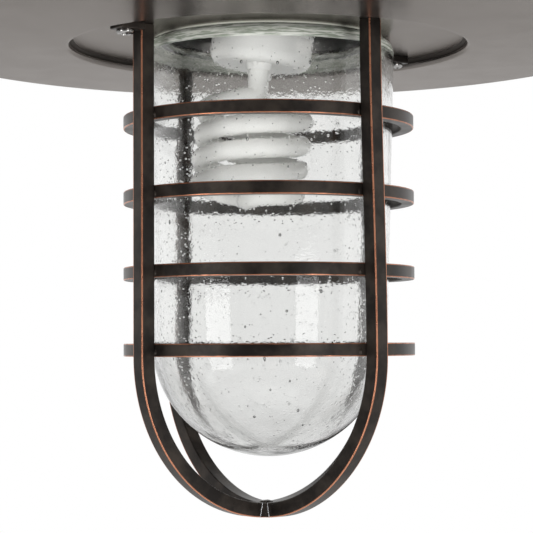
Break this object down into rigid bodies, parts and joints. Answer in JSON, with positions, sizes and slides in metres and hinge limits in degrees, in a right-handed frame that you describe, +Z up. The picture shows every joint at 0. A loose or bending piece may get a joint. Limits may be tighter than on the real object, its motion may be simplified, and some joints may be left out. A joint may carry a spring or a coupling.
{
  "type": "ceiling fan with light",
  "caption": "Downrod ceiling fan with pitched wooden blades, a wide flat metal shade and a wire-guarded jar light holding a spiral lamp.",
  "frame": {"origin": "centre of the hanger bracket's top face, on the ceiling plane", "axes": "+Z up into the ceiling, so the fan hangs towards -Z; +X along the outlet box screws; -Y is the side a viewer faces"},
  "size_m": [1.3368, 1.2734, 0.5291],
  "materials": {
    "bronze": "satin dark bronze with rubbed edges",
    "shade_bronze": "satin metallic bronze",
    "copper_screw": "antique copper",
    "steel": "zinc plated",
    "cast_alloy": "as cast",
    "core_steel": "stacked laminations",
    "winding": "enamelled copper wire",
    "shell_brass": "bright",
    "black_plastic": "matt",
    "ball_nylon": "moulded nylon",
    "lamp_plastic": "gloss white",
    "lamp_phosphor": "white coated tube",
    "porcelain": "glazed white",
    "seeded_glass": "clear, seeded with small bubbles",
    "gasket_rubber": "soft black",
    "blade_wood": "dark weathered oak"
  },
  "bodies": {
    "ceiling_mount": {"ceiling_bracket": "steel", "canopy": "bronze", "canopy_screws": "copper_screw", "canopy_ring": "bronze", "remote_receiver": "black_plastic"},
    "pendant": {"hanger_ball": "ball_nylon", "ball_pin": "steel", "set_screws": "steel", "downrod": "bronze", "yoke": "bronze", "clevis_pin": "steel", "cotter_pin": "steel", "yoke_cover": "bronze", "motor_shaft": "steel", "stator_core": "core_steel", "stator_windings": "winding", "motor_housing": "bronze", "housing_screws": "steel", "lower_hub": "cast_alloy", "shaft_nut": "steel", "switch_housing": "bronze", "capacitor": "black_plastic", "switch_body": "black_plastic", "shade_disc": "shade_bronze", "shade_nuts": "steel", "glass_collar": "cast_alloy", "glass_gasket": "gasket_rubber", "glass_jar": "seeded_glass", "lampholder": "porcelain", "screw_shell": "shell_brass", "lampholder_bracket": "steel", "lamp_ballast": "lamp_plastic", "lamp_cap": "cast_alloy", "lamp_tube": "lamp_phosphor", "cage_ring_1": "bronze", "cage_ring_2": "bronze", "cage_ring_3": "bronze", "cage_ring_4": "bronze", "cage_strap": "bronze", "cage_bars": "bronze", "cage_screws": "bronze", "supply_wires": "black_plastic"},
    "rotor": {"rotor_top": "cast_alloy", "rotor_bottom": "cast_alloy", "rotor_ring": "cast_alloy", "bearings": "steel", "iron_screws": "steel", "blade_screws": "copper_screw", "blade_iron_1": "bronze", "blade_iron_2": "bronze", "blade_iron_3": "bronze", "blade_iron_4": "bronze", "blade_iron_5": "bronze", "blade_1": "blade_wood", "blade_2": "blade_wood", "blade_3": "blade_wood", "blade_4": "blade_wood", "blade_5": "blade_wood"},
    "switch_knob": {"reverse_slider": "black_plastic"}
  },
  "joints": [
    {"name": "hang_tilt", "type": "hinge", "parent": "ceiling_mount", "child": "pendant", "pos_m": [0, 0, -0.044], "axis": [1, 0, 0], "range_deg": [-4, 4]},
    {"name": "rotor_spin", "type": "hinge", "parent": "pendant", "child": "rotor", "pos_m": [0, 0, -0.2105], "axis": [0, 0, 1], "continuous": true},
    {"name": "reverse_switch", "type": "slide", "parent": "pendant", "child": "switch_knob", "axis": [0, 0, 1], "range_m": [-0.003, 0.003]}
  ]
}
